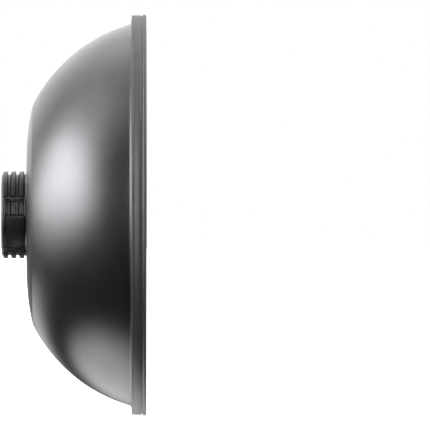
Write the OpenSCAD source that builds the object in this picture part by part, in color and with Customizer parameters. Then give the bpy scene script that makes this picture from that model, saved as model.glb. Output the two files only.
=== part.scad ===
// Round softlight reflector with a centre deflector, held on a lamp head by a split rubber collar
// with an over-centre latch. The lamp axis is X, the mouth faces +X, Z is up, and the latch is on
// the -Y side. X = 0 is the rear face of the rubber collar.

/* [Reflector] */
// Outer diameter over the rolled front bead
rim_d = 520; // [400:10:600]
// Depth of the bowl from its back to the flange at its mouth
bowl_depth = 136.6; // [120:0.1:150]
// Radius of the curved side wall, seen in section
wall_arc_r = 204; // [190:1:240]
// Radius at which the shallow back meets the side wall
crease_r = 142.7; // [130:0.1:150]
// Radius of the flat part of the back
flat_r = 80; // [72:1:100]
// Radius of the shallow dome between the flat and the crease
dome_arc_r = 262; // [230:1:320]
// Thickness of the spun sheet
sheet_t = 1.5; // [1:0.1:2]

/* [Rim hoop] */
// Depth of the hoop, from its shoulder to the front of the bead
hoop_depth = 18; // [14:0.5:24]
// Diameter of the rolled bead
bead_d = 5.2; // [4:0.1:7]
// Diameter of the steel wire in the bead
wire_d = 3.1; // [2:0.1:3.6]

/* [Collar] */
// Bore that closes on the lamp head
head_d = 100; // [90:1:110]
// Diameter over the ribs
rib_d = 113; // [110:0.5:120]
// Length of the rubber
collar_len = 31; // [28:0.5:36]
// Distance from one rib to the next
rib_pitch = 10.4; // [10:0.1:11]

/* [Latch] */
// Width of the lever
lever_w = 23.2; // [20:0.1:24]
// Diameter of the wire bail
bail_d = 2.4; // [2:0.1:2.6]
// Diameter of the lever's hinge pin
pin_d = 3; // [2.5:0.1:3.5]

/* [Deflector] */
// Diameter of the deflector disc
disc_d = 165; // [140:1:180]
// Thickness of the deflector disc
disc_t = 2.5; // [2:0.1:4]
// Gap between the back of the bowl and the disc
disc_gap = 58; // [50:1:75]
// Diameter of the wire supports
rod_d = 3.6; // [3:0.1:4.5]

/* [Hidden] */
$fn = 96;
big_fn = 192;
eps = 0.01;

// Finishes
outer_grey = [0.20, 0.20, 0.21];
satin_grey = [0.45, 0.45, 0.46];
bare_metal = [0.72, 0.72, 0.72];
matt_white = [0.88, 0.88, 0.86];
black_rubber = [0.09, 0.09, 0.09];
black_plastic = [0.05, 0.05, 0.05];
black_steel = [0.12, 0.12, 0.12];

// Stations along the axis
flange_t = 1.5;
bowl_x = collar_len + flange_t;
floor_x = bowl_x + sheet_t;
mouth_x = bowl_x + bowl_depth;
ring_t = 5.5;
disc_x = bowl_x + disc_gap;

// Mouth of the bowl: its wall turns outwards in a small bend to a flange under the hoop
mouth_r = rim_d / 2 - 13.1;
flange_r = rim_d / 2 - 7;
bend_r = 2.5;
bend_offset = 0.5;
bend_a = [172, 150];
wall_steps = 28;
dome_steps = 8;
bend_steps = 4;

// Hoop on the flange
shoulder_r = mouth_r + 1.1;
hoop_r = rim_d / 2 - 1;
hoop_edge = 0.8;
bead_lap = 0.82;
wire_play = 0.1;

// Neck, from the inside out
head_r = head_d / 2;
sleeve_in_r = head_r + 0.6;
sleeve_r = sleeve_in_r + 0.7;
sleeve_lip_r = sleeve_r + 0.7;
sleeve_back_x = 23.9;
sleeve_lip_w = 1.2;
neck_flange_r = 53.6;
neck_edge = 0.4;
bore_gap = 0.1;
ring_r = 67;
ring_edge = 1;
screw_r = 1.5;
screw_head_r = 3;
screw_circle_r = 59;
screw_depth = 4;
screw_count = 6;
screw_socket = [1.1, 1];
grub_socket = [0.8, 1.2];
grub_inset = 0.3;

// Rubber collar and the steel band moulded into it
rib_r = rib_d / 2;
groove_r = head_r + 2.3;
rib_slope = 1.7;
rib_edge = 0.5;
rib_draft = 0.3;
rib_first_x = 0.7;
rib_w = 7.1;
back_edge = 0.6;
front_lip = 1;
band_r = head_r + 0.9;
band_t = 0.6;
band_x = [5, 22];

// Latch angles are counted from the -Y side towards +Z
split_a = [-4.6, -3.4];
window_a = [-53, 26];
window_x = 3.2;
window_r = head_r + 2.9;
cut_lap = 0.5;
low_rib_r = head_r + 5.2;
bail_floor_r = head_r + 4.1;
hub_end_a = 1.2;
latch_x = 17.8;
hinge_r = 56.4;
hinge_a = -3.4;
bail_path_r = 55.6;
bail_end_a = -14.5;
bar_a = 22.7;
bail_gap = 0.3;
bail_bend_r = 1.8;
bail_straight = 1;
// Past the curved legs, the wire follows the tangent and then turns a corner
bail_reach = bail_straight + bail_bend_r;
bail_bend_a = atan(bail_reach / bail_path_r);
bail_pin_r = norm([bail_path_r, bail_reach]);
lever_wall = 3;
web_r = [57.6, 59.6];
web_a = [-47.5, -2.4];
wall_foot_r = 53.7;
hub_r = 2.8;
lip_r = 1.9;
link_inset = 0.1;
link_lap = 0.4;
lug_x = [9.6, 23.2];
lug_w = 2.8;
lug_hub_r = 2.3;
lug_gap = 0.3;
lug_root_a = -22;
foot_r = [window_r, window_r + 1.2];
foot_a = [-44, -10];
run_gap = 0.05;
catch_w = 13.6;
catch_hook = 0.4;
catch_inset = 0.4;
catch_lip_a = [19.6, 21.1];
catch_foot_a = [12, 21.1];
catch_t = 1;
pin_inset = 0.2;
rivet_r = 1.5;
rivet_head_r = 2.2;
rivet_head_h = 1.1;
rivet_head_taper = 0.6;
rivet_sink = 0.4;
// Places of the rivets as [latch angle, x]
base_rivet_places = [for (a = [-38, -20], x = [14.8, 20.2]) [a, x]];
catch_rivet_places = [for (x = [13.7, 19.1]) [15.5, x]];
catch_rivet_top = band_r + band_t + catch_t;

lever_x = latch_x - lever_w / 2;
lever_end_x = latch_x + lever_w / 2;
leg_x = [lever_x - bail_gap - bail_d / 2, lever_end_x + bail_gap + bail_d / 2];

// Supports
rod_r = rod_d / 2;
rod_circle_r = 60;
rod_bend_r = 5;
rod_foot = 4.5;
hook_r = disc_d / 2 + 0.2;
hook_tip_r = disc_d / 2 - 23;
rod_angles = [30, 150, 270];

function arc_points(c, r, a0, a1, n) = [
    for (i = [0 : n])
        let (a = a0 + (a1 - a0) * i / n)
        [c[0] + r * cos(a), c[1] + r * sin(a)]
];
function angle_from(c, p) = atan2(p[1] - c[1], p[0] - c[0]);
function reversed(list) = [for (i = [len(list) - 1 : -1 : 0]) list[i]];
// Centre of the arc of radius r from p to q that bulges away from the lamp axis
function arc_centre(p, q, r) =
    let (
        m = (p + q) / 2,
        d = norm(q - p),
        h = sqrt(r * r - d * d / 4),
        u = (q - p) / d
    )
    [m[0] - u[1] * h, m[1] + u[0] * h];

// Bowl section: dome arc, crease, wall arc. Points are [radius, x].
dome_c = [flat_r, bowl_x + dome_arc_r];
dome_a = asin((crease_r - flat_r) / dome_arc_r) - 90;
crease_p = dome_c + dome_arc_r * [cos(dome_a), sin(dome_a)];
mouth_p = [mouth_r, mouth_x - bend_r - sheet_t];
wall_c = arc_centre(crease_p, mouth_p, wall_arc_r);
wall_a = [angle_from(wall_c, crease_p), angle_from(wall_c, mouth_p)];

// Turns a [radius, x] section once around the lamp axis
module turned() {
    rotate([0, 90, 0])
        rotate_extrude($fn = big_fn)
            children();
}

// Turns a [radius, x] section between two latch angles
module sector(a) {
    rotate([0, 90, 0])
        rotate([0, 0, 270 - a[1]])
            rotate_extrude(angle = a[1] - a[0], $fn = big_fn)
                children();
}

// A rectangle in [radius, x]
module band_section(r, x) {
    translate([r[0], x[0]])
        square([r[1] - r[0], x[1] - x[0]]);
}

// Places a shape on the latch side, its Z axis turned along the lamp axis
module at_latch(r, a, x) {
    translate([x, -r * cos(a), r * sin(a)])
        rotate([0, 90, 0])
            children();
}

// Turns a shape to an angle around the lamp axis, with its X axis outwards and its Z axis along X
module around(a) {
    rotate([a, 0, 0])
        rotate(a = 120, v = [1, 1, 1])
            children();
}

// Points a shape's Z axis outwards from the lamp axis at a latch angle
module outwards(a, x) {
    translate([x, 0, 0])
        rotate([90 - a, 0, 0])
            children();
}

module screw_places() {
    for (i = [0 : screw_count - 1])
        rotate([360 / screw_count * i, 0, 0])
            translate([bowl_x, screw_circle_r, 0])
                rotate([0, 90, 0])
                    children();
}

module countersunk_screw() {
    cylinder(r1 = screw_head_r, r2 = screw_r, h = sheet_t);
    cylinder(r = screw_r, h = sheet_t + screw_depth);
}

// One face of the spun sheet, inset from the outer one, from the neck to the flange's edge
function bowl_face(inset, bend_start) = concat(
    [[sleeve_r + bore_gap, bowl_x + inset]],
    arc_points(dome_c, dome_arc_r - inset, -90, dome_a, dome_steps),
    arc_points(wall_c, wall_arc_r - inset, wall_a[0] + 1, wall_a[1], wall_steps),
    arc_points(
        [mouth_r + bend_r + bend_offset, mouth_x - bend_r - sheet_t],
        bend_r + inset, bend_start, 90, bend_steps
    ),
    [[flange_r, mouth_x - sheet_t + inset]]
);

// Spun dish: flat back, shallow dome, curved wall, and a flange turned out at the mouth
module reflector_bowl() {
    outer = bowl_face(0, bend_a[0]);
    inner = bowl_face(sheet_t, bend_a[1]);
    color(outer_grey)
        difference() {
            turned()
                polygon(concat(outer, reversed(inner)));
            screw_places()
                countersunk_screw();
        }
}

// Hoop on the mouth: a shoulder, a band and a rolled bead, which hold a diffuser or grid
module rim_hoop() {
    front_x = mouth_x + hoop_depth;
    bead_r = rim_d / 2 - bead_d / 2;
    hoop_end_x = front_x - bead_d * bead_lap;
    color(satin_grey)
        difference() {
            union() {
                turned()
                    polygon([
                        [shoulder_r, mouth_x],
                        [hoop_r - hoop_edge, mouth_x],
                        [hoop_r, mouth_x + hoop_edge],
                        [hoop_r, hoop_end_x],
                        [hoop_r - sheet_t, hoop_end_x],
                        [hoop_r - sheet_t, mouth_x + sheet_t],
                        [shoulder_r, mouth_x + sheet_t]
                    ]);
                turned()
                    translate([bead_r, front_x - bead_d / 2])
                        circle(d = bead_d);
            }
            turned()
                translate([bead_r, front_x - bead_d / 2])
                    circle(d = wire_d + wire_play);
        }
}

// Steel wire rolled into the bead
module rim_wire() {
    color(bare_metal)
        turned()
            translate([rim_d / 2 - bead_d / 2, mouth_x + hoop_depth - bead_d / 2])
                circle(d = wire_d);
}

// Turned tube through the back of the bowl, with a lip that the rubber grips
module mount_sleeve() {
    color(bare_metal)
        turned()
            polygon([
                [sleeve_in_r, sleeve_back_x],
                [sleeve_lip_r, sleeve_back_x],
                [sleeve_lip_r, sleeve_back_x + sleeve_lip_w],
                [sleeve_r, sleeve_back_x + sleeve_lip_w],
                [sleeve_r, collar_len],
                [neck_flange_r - neck_edge, collar_len],
                [neck_flange_r, collar_len + neck_edge],
                [neck_flange_r, bowl_x],
                [sleeve_r, bowl_x],
                [sleeve_r, floor_x + ring_t],
                [sleeve_in_r, floor_x + ring_t]
            ]);
}

// Threaded ring that clamps the back of the bowl to the sleeve and carries the wire supports
module lock_ring() {
    color(satin_grey)
        difference() {
            turned()
                polygon([
                    [sleeve_r, floor_x],
                    [ring_r, floor_x],
                    [ring_r, floor_x + ring_t - ring_edge],
                    [ring_r - ring_edge, floor_x + ring_t],
                    [sleeve_r, floor_x + ring_t]
                ]);
            screw_places()
                cylinder(r = screw_r, h = sheet_t + screw_depth);
            for (a = rod_angles) {
                around(a)
                    translate([rod_circle_r, 0, floor_x + ring_t - rod_foot])
                        cylinder(r = rod_r, h = rod_foot + 1);
                around(a)
                    translate([rod_circle_r, 0, floor_x + ring_t / 2])
                        rotate([0, 90, 0])
                            cylinder(r = screw_r, h = ring_r);
            }
        }
}

// Flush screws through the back of the bowl into the lock ring
module floor_screws() {
    color(bare_metal)
        screw_places()
            difference() {
                countersunk_screw();
                translate([0, 0, -eps])
                    cylinder(r = screw_socket[0], h = screw_socket[1], $fn = 6);
            }
}

// Grub screws that hold the feet of the wire supports
module rod_screws() {
    grub_len = ring_r - rod_circle_r - rod_r - grub_inset;
    color(black_steel)
        for (a = rod_angles)
            around(a)
                translate([rod_circle_r + rod_r, 0, floor_x + ring_t / 2])
                    rotate([0, 90, 0])
                        difference() {
                            cylinder(r = screw_r, h = grub_len);
                            translate([0, 0, grub_len - grub_socket[1]])
                                cylinder(r = grub_socket[0], h = grub_socket[1] + 1, $fn = 6);
                        }
}

// A quarter or half turn of wire about the local Y axis, from +X towards +Z
module wire_bend(radius, angle) {
    rotate([90, 0, 0])
        rotate_extrude(angle = angle)
            translate([radius, 0])
                circle(r = rod_r, $fn = 48);
}

// Bent wire: out of the ring, outwards behind the disc, round its edge and in over its face
module support_rod(a) {
    back_run_x = disc_x - rod_r;
    front_run_x = disc_x + disc_t + rod_r;
    foot_x = floor_x + ring_t - rod_foot;
    bend_x = back_run_x - rod_bend_r;
    u_r = (front_run_x - back_run_x) / 2;
    color(matt_white)
        around(a)
            union() {
                translate([rod_circle_r, 0, foot_x])
                    cylinder(r = rod_r, h = bend_x - foot_x, $fn = 48);
                translate([rod_circle_r + rod_bend_r, 0, bend_x])
                    rotate([0, -90, 0])
                        wire_bend(rod_bend_r, 90);
                translate([rod_circle_r + rod_bend_r, 0, back_run_x])
                    rotate([0, 90, 0])
                        cylinder(r = rod_r, h = hook_r - rod_circle_r - rod_bend_r, $fn = 48);
                translate([hook_r, 0, back_run_x + u_r])
                    rotate([0, 90, 0])
                        wire_bend(u_r, 180);
                translate([hook_tip_r, 0, front_run_x])
                    rotate([0, 90, 0])
                        cylinder(r = rod_r, h = hook_r - hook_tip_r, $fn = 48);
                translate([hook_tip_r, 0, front_run_x])
                    sphere(r = rod_r, $fn = 48);
            }
}

module support_rod_1() { support_rod(rod_angles[0]); }
module support_rod_2() { support_rod(rod_angles[1]); }
module support_rod_3() { support_rod(rod_angles[2]); }

// White disc that keeps direct light off the subject
module deflector_disc() {
    edge = 0.6;
    color(matt_white)
        turned()
            polygon([
                [0, disc_x],
                [disc_d / 2 - edge, disc_x],
                [disc_d / 2, disc_x + edge],
                [disc_d / 2, disc_x + disc_t - edge],
                [disc_d / 2 - edge, disc_x + disc_t],
                [0, disc_x + disc_t]
            ]);
}

// One saw-tooth rib: a slope at the back, a flat top and a steep front
function rib_points(i) =
    let (x = rib_first_x + i * rib_pitch)
    [
        [groove_r, x],
        [rib_r - rib_edge, x + rib_slope],
        [rib_r, x + rib_slope + rib_edge],
        [rib_r, x + rib_w - rib_edge],
        [rib_r - rib_edge, x + rib_w],
        [groove_r, x + rib_w + rib_draft]
    ];

// Split rubber collar, cut away under the latch
module rubber_collar() {
    section = concat(
        [[head_r, 0], [groove_r - back_edge, 0]],
        [for (i = [0 : 2]) each rib_points(i)],
        [
            [groove_r, collar_len - front_lip - rib_draft],
            [groove_r + front_lip, collar_len - front_lip],
            [groove_r + front_lip, collar_len],
            [sleeve_r, collar_len],
            [sleeve_r, sleeve_back_x + sleeve_lip_w],
            [sleeve_lip_r, sleeve_back_x + sleeve_lip_w],
            [sleeve_lip_r, sleeve_back_x],
            [head_r, sleeve_back_x]
        ]
    );
    outside = rib_r + 1;
    low_rib_section = [
        [outside, window_x - run_gap],
        [bail_floor_r, window_x - run_gap],
        [bail_floor_r, lever_x],
        [low_rib_r, lever_x],
        [low_rib_r, lever_end_x],
        [bail_floor_r, lever_end_x],
        [bail_floor_r, collar_len + 1],
        [outside, collar_len + 1]
    ];
    color(black_rubber)
        difference() {
            turned()
                polygon(section);
            turned()
                band_section([band_r, band_r + band_t], band_x);
            sector(split_a)
                band_section([head_r - 1, outside], [-1, collar_len + 1]);
            sector([window_a[0], split_a[0] + cut_lap])
                band_section([window_r, outside], [window_x, collar_len + 1]);
            sector([split_a[1] - cut_lap, hub_end_a])
                band_section([window_r, outside], [window_x, collar_len + 1]);
            sector([hub_end_a - cut_lap, catch_lip_a[0] + cut_lap])
                polygon(low_rib_section);
            sector([catch_lip_a[0], window_a[1]])
                band_section([bail_floor_r, outside], [window_x, collar_len + 1]);
            catch_shape(cut_lap);
            rivet_places(catch_rivet_places)
                rivet(catch_rivet_top);
            rivet_places(base_rivet_places)
                rivet(foot_r[1]);
        }
}

// Thin steel band inside the rubber, with its gap under the latch
module clamp_band() {
    color(bare_metal)
        difference() {
            turned()
                band_section([band_r, band_r + band_t], band_x);
            sector(split_a)
                band_section([band_r - 1, band_r + 2], [0, collar_len]);
            rivet_places(catch_rivet_places)
                rivet(catch_rivet_top);
            rivet_places(base_rivet_places)
                rivet(foot_r[1]);
        }
}

module rivet_places(places) {
    for (p = places)
        outwards(p[0], p[1])
            children();
}

// Rivet through the band up to the given radius, with a low head let in there
module rivet(top_r) {
    foot_end_r = band_r - rivet_sink;
    translate([0, 0, foot_end_r])
        cylinder(r = rivet_r, h = top_r - foot_end_r, $fn = 48);
    translate([0, 0, top_r - rivet_sink])
        cylinder(
            r1 = rivet_head_r, r2 = rivet_head_r - rivet_head_taper, h = rivet_head_h, $fn = 48
        );
}

// Foot on the collar and two lugs for the lever's pin
module latch_base() {
    color(black_steel)
        difference() {
            union() {
                sector(foot_a)
                    band_section(foot_r, [lug_x[0], lug_x[1] + lug_w]);
                for (x = lug_x) {
                    sector([lug_root_a, hinge_a])
                        band_section(
                            [foot_r[1] - link_lap, hinge_r - link_lap],
                            [x + link_inset, x + lug_w - link_inset]
                        );
                    at_latch(hinge_r, hinge_a, x)
                        cylinder(r = lug_hub_r, h = lug_w);
                }
            }
            at_latch(hinge_r, hinge_a, 0)
                cylinder(d = pin_d, h = collar_len);
            rivet_places(base_rivet_places)
                rivet(foot_r[1]);
        }
}

module base_rivets() {
    color(bare_metal)
        rivet_places(base_rivet_places)
            rivet(foot_r[1]);
}

// Foot under the rubber and a raised lip that the bail pulls against. lap deepens its inner side.
module catch_shape(lap = 0) {
    x = [latch_x - catch_w / 2, sleeve_back_x - catch_inset];
    back_r = band_r + band_t - lap;
    sector(catch_foot_a)
        band_section([back_r, band_r + band_t + catch_t], [x[0], band_x[1] - catch_inset]);
    sector(catch_lip_a)
        band_section([back_r, bail_path_r + catch_hook], [x[0] + link_inset, x[1]]);
}

module catch_plate() {
    color(black_steel)
        difference() {
            catch_shape();
            rivet_places(catch_rivet_places)
                rivet(catch_rivet_top);
        }
}

module catch_rivets() {
    color(bare_metal)
        rivet_places(catch_rivet_places)
            rivet(catch_rivet_top);
}

// Hinge pin of the lever, held in the lugs
module lever_pin() {
    color(bare_metal)
        at_latch(hinge_r, hinge_a, lever_x + pin_inset)
            cylinder(d = pin_d, h = lever_w - 2 * pin_inset);
}

// Curved lever: a web between two side walls with the hinge and bail holes, and a finger lip
module latch_lever() {
    walls = [lever_x, lever_end_x - lever_wall];
    color(black_plastic)
        difference() {
            union() {
                sector(web_a)
                    polygon([
                        [wall_foot_r, walls[0]],
                        [web_r[1], walls[0]],
                        [web_r[1], lever_end_x],
                        [wall_foot_r, lever_end_x],
                        [wall_foot_r, walls[1]],
                        [web_r[0], walls[1]],
                        [web_r[0], walls[0] + lever_wall],
                        [wall_foot_r, walls[0] + lever_wall]
                    ]);
                for (x = walls)
                    at_latch(hinge_r, hinge_a, x + link_inset)
                        cylinder(r = hub_r, h = lever_wall - 2 * link_inset);
                at_latch(web_r[1], web_a[0], lever_x + 2 * link_inset)
                    cylinder(r = lip_r, h = lever_w - 4 * link_inset);
            }
            at_latch(hinge_r, hinge_a, 0)
                cylinder(r = pin_d / 2 + run_gap, h = collar_len);
            at_latch(bail_pin_r, bail_end_a, 0)
                cylinder(r = bail_d / 2 + run_gap, h = collar_len);
            for (x = lug_x)
                at_latch(hinge_r, hinge_a, x - lug_gap)
                    cylinder(r = lug_hub_r + lug_gap, h = lug_w + 2 * lug_gap);
        }
}

// A short straight and a quarter turn of wire past one end of a leg. up is 1 at the cross bar
// and -1 at the lever, and side is 1 where the wire turns towards +X.
module bail_corner(a, x, up, side) {
    start = 135 - 90 * up + 45 * side * up;
    outwards(a, x)
        translate([0, 0, bail_path_r]) {
            rotate([-90 * up, 0, 0])
                cylinder(d = bail_d, h = bail_straight, $fn = 48);
            translate([side * bail_bend_r, up * bail_straight, 0])
                rotate([0, 0, start])
                    rotate_extrude(angle = 90)
                        translate([bail_bend_r, 0])
                            circle(d = bail_d, $fn = 48);
        }
}

// Wire bail: two curved legs, a cross bar behind the catch, and ends turned into the lever
module bail() {
    leg_a = [bail_end_a + bail_bend_a, bar_a - bail_bend_a];
    bar_len = leg_x[1] - leg_x[0] - 2 * bail_bend_r;
    end_len = lever_x + lever_wall - pin_inset - leg_x[0] - bail_bend_r;
    color(black_steel)
        union() {
            for (x = leg_x)
                sector(leg_a)
                    translate([bail_path_r, x])
                        circle(d = bail_d, $fn = 48);
            bail_corner(leg_a[1], leg_x[0], 1, 1);
            bail_corner(leg_a[1], leg_x[1], 1, -1);
            bail_corner(leg_a[0], leg_x[0], -1, 1);
            bail_corner(leg_a[0], leg_x[1], -1, -1);
            at_latch(bail_pin_r, bar_a, leg_x[0] + bail_bend_r)
                cylinder(d = bail_d, h = bar_len, $fn = 48);
            at_latch(bail_pin_r, bail_end_a, leg_x[0] + bail_bend_r)
                cylinder(d = bail_d, h = end_len, $fn = 48);
            at_latch(bail_pin_r, bail_end_a, leg_x[1] - bail_bend_r - end_len)
                cylinder(d = bail_d, h = end_len, $fn = 48);
        }
}

reflector_bowl();
rim_hoop();
rim_wire();
mount_sleeve();
lock_ring();
floor_screws();
support_rod_1();
support_rod_2();
support_rod_3();
rod_screws();
deflector_disc();
rubber_collar();
clamp_band();
latch_base();
base_rivets();
catch_plate();
catch_rivets();
lever_pin();
latch_lever();
bail();
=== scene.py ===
"""Studio softlight reflector: the spun dish, rim hoop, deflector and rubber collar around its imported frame."""

import math

import bmesh
import bpy
from bpy.props import FloatProperty, FloatVectorProperty, IntProperty, PointerProperty
from bpy.types import Operator, Panel, PropertyGroup
from mathutils import Matrix, Vector


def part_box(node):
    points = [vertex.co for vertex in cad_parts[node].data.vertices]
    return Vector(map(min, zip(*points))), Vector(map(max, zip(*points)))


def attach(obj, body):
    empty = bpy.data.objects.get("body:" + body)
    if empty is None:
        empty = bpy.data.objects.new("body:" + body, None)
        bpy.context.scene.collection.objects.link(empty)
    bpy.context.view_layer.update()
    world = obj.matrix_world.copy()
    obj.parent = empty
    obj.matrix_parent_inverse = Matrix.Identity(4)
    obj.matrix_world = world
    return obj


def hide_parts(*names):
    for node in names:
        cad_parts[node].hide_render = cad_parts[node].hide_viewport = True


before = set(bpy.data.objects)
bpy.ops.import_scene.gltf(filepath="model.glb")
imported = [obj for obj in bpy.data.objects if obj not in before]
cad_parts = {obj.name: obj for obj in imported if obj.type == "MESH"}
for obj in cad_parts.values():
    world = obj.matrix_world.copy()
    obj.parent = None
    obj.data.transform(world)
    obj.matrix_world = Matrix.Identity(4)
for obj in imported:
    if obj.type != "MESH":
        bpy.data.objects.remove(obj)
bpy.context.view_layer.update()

bl_info = {
    "name": "Softlight reflector",
    "version": (1, 0, 0),
    "blender": (4, 5, 0),
    "location": "3D View > Sidebar > Reflector",
    "description": "Builds a beauty dish with its deflector, rim hoop and latched rubber collar",
    "category": "Object",
}

MM = 0.001
BOWL_LOW, BOWL_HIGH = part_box("reflector_bowl")
HOOP_LOW, HOOP_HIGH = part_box("rim_hoop")
DISC_LOW, DISC_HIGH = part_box("deflector_disc")
COLLAR_LOW, COLLAR_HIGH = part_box("rubber_collar")
LEVER_LOW, LEVER_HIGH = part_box("latch_lever")
SLEEVE_LOW, SLEEVE_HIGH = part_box("mount_sleeve")
SCREW_LOW, SCREW_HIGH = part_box("floor_screws")
SLEEVE_R = 51.3 * MM
SLEEVE_PLAY = 0.1 * MM
MERGE = 1e-6

MATERIALS = {}


# ---------------------------------------------------------------- sizes and finishes


class DishSizes(PropertyGroup):
    flat_radius: FloatProperty(
        name="Flat radius", description="Radius of the flat part of the back",
        default=80 * MM, unit="LENGTH",
    )
    dome_radius: FloatProperty(
        name="Dome radius", description="Radius of the shallow dome round the flat",
        default=262 * MM, unit="LENGTH",
    )
    crease_radius: FloatProperty(
        name="Crease radius", description="Distance of the crease from the lamp axis",
        default=142.7 * MM, unit="LENGTH",
    )
    wall_radius: FloatProperty(
        name="Wall radius", description="Radius of the curved wall, seen in section",
        default=204 * MM, unit="LENGTH",
    )
    sheet: FloatProperty(
        name="Sheet", description="Thickness of the spun sheet",
        default=1.5 * MM, unit="LENGTH",
    )
    mouth_inset: FloatProperty(
        name="Mouth inset", description="From the edge of the flange in to the wall's end",
        default=6.1 * MM, unit="LENGTH",
    )
    bend_radius: FloatProperty(
        name="Bend radius", description="Bend between the wall and its flange",
        default=2.5 * MM, unit="LENGTH",
    )
    crease_ease: FloatProperty(
        name="Crease ease", description="Rounding of the crease",
        default=1.6 * MM, unit="LENGTH",
    )
    bend_setback: FloatProperty(
        name="Bend setback", description="From the wall's end out to the start of its bend",
        default=0.5 * MM, unit="LENGTH",
    )
    steps: IntProperty(
        name="Steps", description="Steps of each full turn", default=240, min=48, max=360,
    )


class HoopSizes(PropertyGroup):
    bead_height: FloatProperty(
        name="Bead height", description="Height of the bead over the band",
        default=1.0 * MM, unit="LENGTH",
    )
    bead_radius: FloatProperty(
        name="Bead radius", description="Radius of the rolled front bead",
        default=2.6 * MM, unit="LENGTH",
    )
    wire_radius: FloatProperty(
        name="Wire radius", description="Inner radius of the bead, over its wire",
        default=1.62 * MM, unit="LENGTH",
    )
    hem_radius: FloatProperty(
        name="Hem radius", description="Radius of the folded edge behind the band",
        default=1.15 * MM, unit="LENGTH",
    )
    groove_depth: FloatProperty(
        name="Groove depth", description="Depth of the groove behind the bead",
        default=0.9 * MM, unit="LENGTH",
    )
    groove_width: FloatProperty(
        name="Groove width", description="Width of the groove behind the bead",
        default=1.6 * MM, unit="LENGTH",
    )
    shoulder: FloatProperty(
        name="Shoulder", description="Width of the flat shoulder inside the hoop",
        default=9.5 * MM, unit="LENGTH",
    )
    groove_ease: FloatProperty(
        name="Groove ease", description="Slope of the groove's edges",
        default=0.2 * MM, unit="LENGTH",
    )


class CollarSizes(PropertyGroup):
    bore_radius: FloatProperty(
        name="Bore radius", description="Radius of the lamp head that the collar grips",
        default=50 * MM, unit="LENGTH",
    )
    rib_count: IntProperty(name="Rib count", description="Number of ribs", default=3, min=1, max=4)
    rib_start: FloatProperty(
        name="Rib start", description="From the collar's rear to the first rib",
        default=0.7 * MM, unit="LENGTH",
    )
    rib_slope: FloatProperty(
        name="Rib slope", description="Length of the slope behind each rib",
        default=1.7 * MM, unit="LENGTH",
    )
    rib_pitch: FloatProperty(
        name="Rib pitch", description="Distance from one rib to the next",
        default=10.4 * MM, unit="LENGTH",
    )
    rib_height: FloatProperty(
        name="Rib height", description="Height of a rib over its groove",
        default=4.2 * MM, unit="LENGTH",
    )
    rib_width: FloatProperty(
        name="Rib width", description="Width of a rib at its foot",
        default=7.1 * MM, unit="LENGTH",
    )
    rib_ease: FloatProperty(
        name="Rib ease", description="Rounding of the ribs' edges",
        default=0.55 * MM, unit="LENGTH",
    )
    hinge_recess: FloatProperty(
        name="Hinge recess", description="Depth of the recess round the hinge, from the rib tops",
        default=3.6 * MM, unit="LENGTH",
    )
    bail_recess: FloatProperty(
        name="Bail recess", description="Depth of the recess under the bail, from the rib tops",
        default=2.4 * MM, unit="LENGTH",
    )
    rib_recess: FloatProperty(
        name="Rib recess", description="Depth by which the ribs inside the bail are lowered",
        default=1.3 * MM, unit="LENGTH",
    )
    bead_height: FloatProperty(
        name="Bead height", description="Height of the bead at the collar's front",
        default=1.0 * MM, unit="LENGTH",
    )
    turn_step: FloatProperty(
        name="Turn step", description="Angle of one step round the collar",
        default=math.radians(1.8), subtype="ANGLE",
    )


class ScrewSizes(PropertyGroup):
    head_radius: FloatProperty(
        name="Head radius", description="Radius of a screw's head",
        default=3 * MM, unit="LENGTH",
    )
    shank_radius: FloatProperty(
        name="Shank radius", description="Radius of a screw's shank",
        default=1.5 * MM, unit="LENGTH",
    )
    proud: FloatProperty(
        name="Proud", description="Height of a head over the dish's back",
        default=0.6 * MM, unit="LENGTH",
    )
    tip: FloatProperty(
        name="Tip", description="Chamfer at the end of a screw",
        default=0.4 * MM, unit="LENGTH",
    )
    socket_depth: FloatProperty(
        name="Socket depth", description="Depth of the socket in a head",
        default=0.7 * MM, unit="LENGTH",
    )
    circle_radius: FloatProperty(
        name="Circle radius", description="Distance of the screws from the lamp axis",
        default=59 * MM, unit="LENGTH",
    )
    count: IntProperty(name="Count", description="Number of screws", default=6, min=3, max=12)


class Finishes(PropertyGroup):
    outside: FloatVectorProperty(
        name="Dish outside", description="Dark satin grey of the dish's back",
        default=(0.115, 0.115, 0.12), subtype="COLOR", min=0, max=1,
    )
    inside: FloatVectorProperty(
        name="Dish inside", description="Satin silver of the reflecting face",
        default=(0.60, 0.60, 0.59), subtype="COLOR", min=0, max=1,
    )
    hoop: FloatVectorProperty(
        name="Hoop", description="Satin grey of the rim hoop",
        default=(0.15, 0.15, 0.153), subtype="COLOR", min=0, max=1,
    )
    enamel: FloatVectorProperty(
        name="Enamel", description="Matt white of the deflector and its wires",
        default=(0.86, 0.86, 0.84), subtype="COLOR", min=0, max=1,
    )
    rubber: FloatVectorProperty(
        name="Rubber", description="Black of the moulded collar",
        default=(0.014, 0.014, 0.015), subtype="COLOR", min=0, max=1,
    )
    plastic: FloatVectorProperty(
        name="Plastic", description="Black of the latch lever",
        default=(0.007, 0.007, 0.0073), subtype="COLOR", min=0, max=1,
    )
    black_metal: FloatVectorProperty(
        name="Black metal", description="Blacked steel of the latch's small parts",
        default=(0.02, 0.02, 0.021), subtype="COLOR", min=0, max=1,
    )
    bare_metal: FloatVectorProperty(
        name="Bare metal", description="Zinc of the pins, rivets, screws and wire",
        default=(0.62, 0.62, 0.60), subtype="COLOR", min=0, max=1,
    )
    neck_metal: FloatVectorProperty(
        name="Neck metal", description="Turned aluminium of the sleeve and lock ring",
        default=(0.66, 0.66, 0.66), subtype="COLOR", min=0, max=1,
    )


# ---------------------------------------------------------------- modelling


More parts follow.
